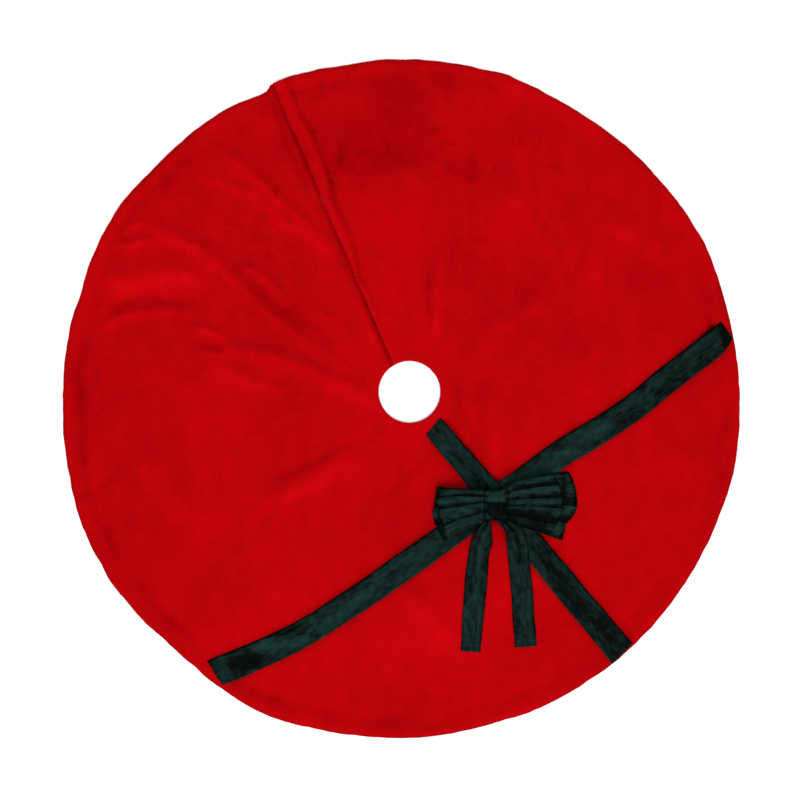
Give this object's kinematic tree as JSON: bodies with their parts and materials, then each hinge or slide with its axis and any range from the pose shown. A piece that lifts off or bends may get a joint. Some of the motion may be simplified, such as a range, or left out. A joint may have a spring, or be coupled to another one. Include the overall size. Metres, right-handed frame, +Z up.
{
  "type": "tree skirt",
  "caption": "Round plush tree skirt with a trunk hole, a lapped slit that folds open, sewn-on crossing velvet ribbons and a pleated bow with free tails.",
  "frame": {"origin": "centre of the round outline, on the ground that the skirt lies on", "axes": "+Z up out of the plush face; +X to the right and +Y away, seen from above with the bow towards the viewer and to the right"},
  "size_m": [1.22, 1.2199, 0.0441],
  "materials": {
    "plush_red": "short brushed plush pile, matt with a soft sheen",
    "lining": "thin plain non-woven backing, matt",
    "velvet_green": "crushed velvet, dark with a cool sheen",
    "loop_tape": "soft looped tape",
    "hook_tape": "stiff hooked tape, slight gloss"
  },
  "bodies": {
    "skirt": {"face": "plush_red", "lining": "lining", "loop_pad_1": "loop_tape", "loop_pad_2": "loop_tape", "loop_pad_3": "loop_tape", "cross_ribbon_short": "velvet_green", "cross_ribbon_long": "velvet_green", "radial_ribbon": "velvet_green", "bow_back": "velvet_green", "bow_front": "velvet_green", "bow_knot": "velvet_green"},
    "slit_flap": {"slit_flap_face": "plush_red", "slit_flap_lining": "lining", "hook_pad_1": "hook_tape", "hook_pad_2": "hook_tape", "hook_pad_3": "hook_tape"},
    "tail_left": {"tail_left": "velvet_green"},
    "tail_right": {"tail_right": "velvet_green"}
  },
  "joints": [
    {"name": "slit_fold", "type": "hinge", "parent": "skirt", "child": "slit_flap", "pos_m": [-0.06645, 0.3218, 0.00455], "axis": [-0.3923, 0.9198, 0], "range_deg": [0, 150]},
    {"name": "tail_left_lift", "type": "hinge", "parent": "skirt", "child": "tail_left", "pos_m": [0.15619, -0.22456, 0.0233], "axis": [-1, 0, 0], "range_deg": [0, 75]},
    {"name": "tail_right_lift", "type": "hinge", "parent": "skirt", "child": "tail_right", "pos_m": [0.18769, -0.22456, 0.0233], "axis": [-1, 0, 0], "range_deg": [0, 75]}
  ]
}
